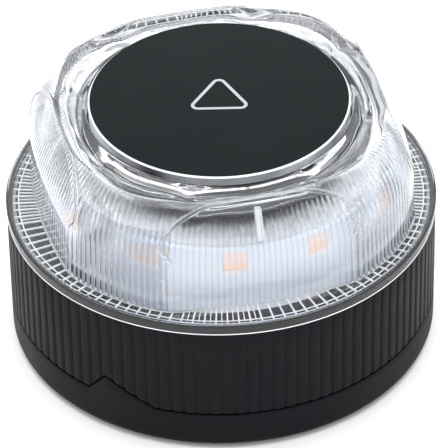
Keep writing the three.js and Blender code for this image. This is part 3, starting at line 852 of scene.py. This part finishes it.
# LED carrier
def make_carrier(materials):
    """A white drum with a painted glow and a window for each LED, closed by a reflector plate with streaks
    and painted shade.
    """
    inner = CARRIER_INNER
    carrier = turned("carrier_shell", [
        (inner, CARRIER_BOTTOM, 0.1), (CARRIER_FOOT, CARRIER_BOTTOM, 0.1), (CARRIER_FOOT, 28.4, 0.1),
        (CARRIER_RADIUS, 31.5, 0.6), (CARRIER_RADIUS, CARRIER_RIM, 0.25), (inner + 0.4, CARRIER_RIM, 0.1),
        (inner + 0.4, CARRIER_RIM + 0.5, 0.1), (inner - 0.4, CARRIER_TOP, 0.3), (5, CARRIER_TOP, 0.3),
        (5, CARRIER_TOP - CARRIER_PLATE, 0.3), (inner, CARRIER_TOP - CARRIER_PLATE, 0.1),
    ], count=288)
    corners = [45 + 90 * k for k in range(4)]
    tab = oblong(**CARRIER_TAB)
    tab_top = CARRIER_BOTTOM + CARRIER_TAB_DEPTH
    carved(carrier, [prism(turned_outline(tab, turn), CARRIER_BOTTOM, tab_top) for turn in corners], "UNION")
    cuts = [prism(circle(PILOT_RADIUS, place_at(turn, TAB_SCREW_RING), 24), 20, 32) for turn in corners]
    window = oblong(LED_WINDOW, 8, (0, -CARRIER_RADIUS))
    for k in range(LED_COUNT):
        opening = turned_outline(window, FIRST_LED + 360 / LED_COUNT * k)
        cuts.append(prism(opening, LED_HEIGHT - LED_WINDOW / 2, LED_HEIGHT + LED_WINDOW / 2))
    carved(carrier, cuts)
    carrier.data.materials.clear()
    carrier.data.materials.append(materials["white"])
    carrier.data.materials.append(materials["streaks_and_shade"])
    for face in carrier.data.polygons:
        face.material_index = int(face.center.z / MM > CARRIER_RIM + 0.02)
    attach(carrier, "housing")
    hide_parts("led_carrier")
    return carrier


# Base
def seam_rise(azimuth):
    """How far the seam climbs over the lifting wedge."""
    turn = (azimuth + 180.0) % 360.0 - 180.0
    places = [WEDGE_LEFT, WEDGE_PEAK, WEDGE_RIGHT]
    return np.interp(turn, places, [0, WEDGE_HEIGHT, 0])


def wall_ribs(azimuth):
    """Depth of the grooves between the wall's flat-topped ribs."""
    phase = (azimuth * WALL_RIBS / 360.0) % 1.0
    groove = smooth_step(0.55, 0.75, phase) * (1 - smooth_step(0.8, 1.0, phase))
    return RIB_DEPTH * groove


def make_housing(materials):
    azimuth = columns_of(WALL_COLUMNS)
    bottom = SEAM + SEAM_GAP / 2 + seam_rise(azimuth)
    groove = wall_ribs(azimuth)
    wall = BASE_RADIUS - 0.1
    top = HOUSING_TOP
    ledge = top - LEDGE_DEPTH
    rows = [(HOUSING_BORE, bottom), (wall - 0.35 - groove * 0.4, bottom),
            (wall - 0.15 - groove, bottom + 0.08), (wall - groove, bottom + 0.3)]
    for share in np.linspace(0, 1, 6)[:-1]:
        rows.append((wall - groove, bottom + 0.5 + (top - 1.0 - bottom) * share))
    rows += [
        (wall - groove, top - 0.4), (wall - 0.1 - groove * 0.6, top - 0.1), (wall - 0.4, top),
        (TONGUE_OUTER, top), (TONGUE_OUTER, TONGUE_TOP), (TONGUE_INNER, TONGUE_TOP), (TONGUE_INNER, ledge),
        (GASKET_OUTER, ledge), (GASKET_OUTER, top - GASKET_DEPTH), (GASKET_INNER, top - GASKET_DEPTH),
        (GASKET_INNER, ledge), (UPPER_ROOM + 0.3, ledge), (UPPER_ROOM, ledge - 0.3),
        (UPPER_ROOM, DECK_TOP), (1.0, DECK_TOP), (1.0, DECK_BOTTOM), (HOUSING_BORE, DECK_BOTTOM),
    ]
    housing = swept("housing_shell", *profile_arrays(rows, azimuth), azimuth, crease=42)
    screws = [place_at(30 + 120 * k, BOARD_SCREW_RING) for k in range(3)]
    carved(housing, [prism(circle(BOSS_RADIUS, spot), 26.4, BOARD_BOSS_TOP) for spot in screws], "UNION")
    screws += [place_at(45 + 90 * k, TAB_SCREW_RING) for k in range(4)]
    lead_slot = prism(oblong(**LEAD_SLOT), 20, 40)
    carved(housing, [prism(circle(PILOT_RADIUS, spot, 24), 20, 40) for spot in screws] + [lead_slot])
    housing.data.materials.append(materials["matte_black"])
    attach(housing, "housing")
    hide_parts("base_housing")
    return housing


def make_cap(materials):
    azimuth = columns_of(WALL_COLUMNS)
    top = SEAM - SEAM_GAP / 2 + seam_rise(azimuth)
    side = BASE_RADIUS - 0.12
    edge = CAP_EDGE_ROUND
    rows = [(0.5, CAP_BOTTOM), (PAD_INNER, CAP_BOTTOM), (PAD_INNER, PAD_TOP), (PAD_OUTER, PAD_TOP),
            (PAD_OUTER, CAP_BOTTOM)]
    for turn in np.radians(np.linspace(0, 90, 7)):
        rows.append((side - edge * (1 - math.sin(turn)), CAP_BOTTOM + edge * (1 - math.cos(turn))))
    for share in np.linspace(0, 1, 5)[1:-1]:
        rows.append((side, CAP_BOTTOM + edge + (top - 0.3 - CAP_BOTTOM - edge) * share))
    rows += [
        (side, top - 0.3), (side - 0.12, top - 0.08), (side - 0.35, top), (HOUSING_BORE + 0.3, top),
        (SPIGOT_RADIUS, SEAM - 0.15), (SPIGOT_RADIUS, CAP_SEAL_BOTTOM), (CAP_SEAL_RADIUS, CAP_SEAL_BOTTOM),
        (CAP_SEAL_RADIUS, CAP_SEAL_TOP), (SPIGOT_RADIUS, CAP_SEAL_TOP), (SPIGOT_RADIUS, SPIGOT_TOP),
        (SPIGOT_BORE, SPIGOT_TOP), (SPIGOT_BORE, CAP_FLOOR_TOP), (0.5, CAP_FLOOR_TOP),
    ]
    cap = swept("cap_shell", *profile_arrays(rows, azimuth), azimuth, crease=42)
    magnets = [place_at(45 + 90 * k, MAGNET_RING) for k in range(4)]
    screws = [place_at(180 * k, PLATE_SCREW_RING) for k in range(2)]
    posts = [prism(circle(MAGNET_POST, spot), 3.0, CAP_BOSS_TOP) for spot in magnets]
    posts += [prism(circle(BOSS_RADIUS, spot), 3.0, CAP_BOSS_TOP) for spot in screws]
    middle_plug = prism(circle(1.0), CAP_BOTTOM, CAP_FLOOR_TOP)
    carved(cap, posts + [middle_plug], "UNION")
    carved(cap, [prism(circle(MAGNET_POCKET, spot), MAGNET_POCKET_FLOOR, 6) for spot in magnets]
           + [prism(circle(PILOT_RADIUS, spot, 24), 2.4, 6) for spot in screws])
    cap.data.materials.append(materials["matte_black"])
    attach(cap, "cap")
    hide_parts("base_cap")
    return cap


# Button
def rounded_triangle(reach, round_radius, steps=8):
    """A triangle that points to the back, its corners rounded about centres at the given reach."""
    points = []
    for corner in range(3):
        middle = 90 + 120 * corner
        x, y = reach * math.cos(math.radians(middle)), reach * math.sin(math.radians(middle))
        for turn in np.radians(np.linspace(middle - 60, middle + 60, steps)):
            points.append((x + round_radius * math.cos(turn), y + round_radius * math.sin(turn)))
    return points


def add_mark(button):
    """A plain triangle outline printed on the disc, as a thin closed band."""
    outer, inner = rounded_triangle(5.0, 1.5), rounded_triangle(5.0, 0.8)
    count = len(outer)
    low, high = BUTTON_TOP + 0.005, BUTTON_TOP + 0.03
    points = [(x, y, low) for x, y in outer] + [(x, y, high) for x, y in outer]
    points += [(x, y, high) for x, y in inner] + [(x, y, low) for x, y in inner]
    mesh = bmesh.new()
    mesh.from_mesh(button.data)
    corners = [mesh.verts.new(Vector(point) * MM) for point in points]
    for level in range(4):
        first, second = level * count, (level + 1) % 4 * count
        for k in range(count):
            on = (k + 1) % count
            face = mesh.faces.new((corners[first + k], corners[first + on], corners[second + on],
                                   corners[second + k]))
            face.material_index = BUTTON_LOOKS.index("mark_print")
    mesh.to_mesh(button.data)
    mesh.free()


def make_button(materials):
    edge = BUTTON_RADIUS - BUTTON_CHAMFER
    button = turned("button_cap", [
        (0, BUTTON_POST_BOTTOM, 0), (BUTTON_POST_RADIUS, BUTTON_POST_BOTTOM, 0.3),
        (BUTTON_POST_RADIUS, BUTTON_CEILING, 0.4), (BUTTON_BORE, BUTTON_CEILING, 0.4),
        (BUTTON_BORE, BUTTON_BOTTOM, 0.2), (CATCH_RADIUS, BUTTON_BOTTOM, 0.2), (CATCH_RADIUS, CATCH_TOP, 0.2),
        (BUTTON_RADIUS, CATCH_TOP, 0.2), (BUTTON_RADIUS, BUTTON_TOP - BUTTON_SIDE, 0),
        (BUTTON_RADIUS, BUTTON_TOP - BUTTON_CHAMFER, 0.06), (edge, BUTTON_TOP, 0.06), (0, BUTTON_TOP, 0),
    ], count=240, crease=30)
    for look in BUTTON_LOOKS:
        button.data.materials.append(materials[look])
    for face in button.data.polygons:
        reach = math.hypot(face.center.x, face.center.y) / MM
        height = face.center.z / MM
        # The bevel is painted with a white highlight.
        if height > BUTTON_TOP - BUTTON_CHAMFER + 0.02 and reach > edge + 0.01:
            face.material_index = BUTTON_LOOKS.index("painted_rim_highlight")
        # The side band below the disc is painted with patchy reflections.
        elif height > BUTTON_TOP - BUTTON_SIDE and reach > BUTTON_RADIUS - 0.05:
            face.material_index = BUTTON_LOOKS.index("painted_side_reflection")
    add_mark(button)
    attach(button, "button")
    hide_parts("top_button")
    return button


# Button spring
def make_spring(materials):
    """A steel coil with closed end turns."""
    turns = np.linspace(0, SPRING_TURNS, 48 * SPRING_TURNS + 1)
    closed_turn = 2 * SPRING_WIRE + 0.05
    heights = np.interp(turns, [0, 1, SPRING_TURNS - 1, SPRING_TURNS],
                        [0, closed_turn, SPRING_RISE - closed_turn, SPRING_RISE])
    middles = polar(turns * 360.0, SPRING_RADIUS, SPRING_LOW + heights)
    outwards = polar(turns * 360.0, 1.0, 0.0)
    spring = mesh_object("button_coil", *tube(middles, outwards, SPRING_WIRE, SPRING_WIRE, 12))
    spring.data.materials.append(materials["steel"])
    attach(spring, "housing")
    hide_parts("button_spring")
    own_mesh(spring)
    return spring


# CAD nodes that keep their shape
def finish_cad_nodes(materials):
    """A procedural material for each CAD node that stays in view."""
    kinds = {
        "rubber": ["foot_pad", "cap_seal", "lens_gasket", "button_seal"],
        "steel": ["magnet_plate", "plate_screw", "carrier_screw", "board_screw", "modem_module",
                  "battery_spring", "contact_"],
        "magnet": ["magnet_"],
        "white": ["switch_plunger"],
        "strip": ["led_board"],
        "amber": ["led_"],
        "board": ["main_board"],
        "ceramic": ["satellite_antenna"],
        "chip": ["mobile_antenna", "sim_chip", "driver_chip", "power_", "switch_body"],
        "sleeve": ["battery_"],
        "matte_black": ["battery_tray"],
    }
    starts = [(start, kind) for kind, group in kinds.items() for start in group]
    starts.sort(key=lambda pair: -len(pair[0]))
    for name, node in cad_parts.items():
        kind = next((kind for start, kind in starts if name.startswith(start)), None)
        if kind is None:
            continue
        node.data.materials.clear()
        node.data.materials.append(materials[kind])


# Stage
def make_floor():
    reach = 6.0  # metres
    corners = [(-reach, -reach, 0), (reach, -reach, 0), (reach, reach, 0), (-reach, reach, 0)]
    floor = mesh_object("floor", corners, [(0, 1, 2, 3)])
    material, _, _, shader = new_material("floor_white")
    shader.inputs["Base Color"].default_value = (0.93, 0.93, 0.93, 1)
    shader.inputs["Roughness"].default_value = 0.9
    floor.data.materials.append(material)


def make_world():
    """A white studio that is darker on the side the camera stands, near the horizon."""
    world = bpy.data.worlds.new("studio")
    bpy.context.scene.world = world
    world.use_nodes = True
    nodes, links = world.node_tree.nodes, world.node_tree.links
    background = nodes["Background"]
    place = nodes.new("ShaderNodeTexCoord")
    split = nodes.new("ShaderNodeSeparateXYZ")
    links.new(place.outputs["Generated"], split.inputs["Vector"])
    ramp = nodes.new("ShaderNodeMapRange")
    ramp.interpolation_type = "SMOOTHSTEP"
    ramp.inputs["From Min"].default_value = -0.95
    ramp.inputs["From Max"].default_value = 0.1
    ramp.inputs["To Min"].default_value = 0.95
    ramp.inputs["To Max"].default_value = 1.28
    links.new(split.outputs["Y"], ramp.inputs["Value"])
    background.inputs["Color"].default_value = (0.96, 0.98, 1.0, 1)
    links.new(ramp.outputs[0], background.inputs["Strength"])


def make_lamp(name, place, aim, size, power):
    data = bpy.data.lights.new(name, "AREA")
    data.shape = "SQUARE"
    data.size = size
    data.energy = power
    lamp = bpy.data.objects.new(name, data)
    bpy.context.scene.collection.objects.link(lamp)
    lamp.location = place
    lamp.rotation_mode = "QUATERNION"
    lamp.rotation_quaternion = (Vector(place) - Vector(aim)).to_track_quat("Z", "Y")


def make_camera():
    data = bpy.data.cameras.new("camera")
    data.lens = FOCAL_LENGTH
    data.clip_end = 20.0
    camera = bpy.data.objects.new("camera", data)
    bpy.context.scene.collection.objects.link(camera)
    back = Vector((0, -math.cos(CAMERA_ELEVATION), math.sin(CAMERA_ELEVATION)))
    camera.location = Vector((0, 0, CAMERA_HEIGHT_AIM)) + back * CAMERA_DISTANCE
    camera.rotation_mode = "QUATERNION"
    camera.rotation_quaternion = (
        back.to_track_quat("Z", "Y") @ Quaternion((0, 0, 1), CAMERA_ROLL)
        @ Quaternion((1, 0, 0), CAMERA_TILT) @ Quaternion((0, 1, 0), CAMERA_PAN)
    )
    bpy.context.scene.camera = camera


bpy.context.scene.view_settings.view_transform = "Standard"
make_camera()
make_world()
make_floor()
make_lamp("top_light", place=(0, 0.1, 0.9), aim=(0, 0, 0), size=0.9, power=8.0)
looks = make_materials()
finish_cad_nodes(looks)
make_lens(looks)
make_carrier(looks)
make_housing(looks)
make_cap(looks)
make_button(looks)
make_spring(looks)
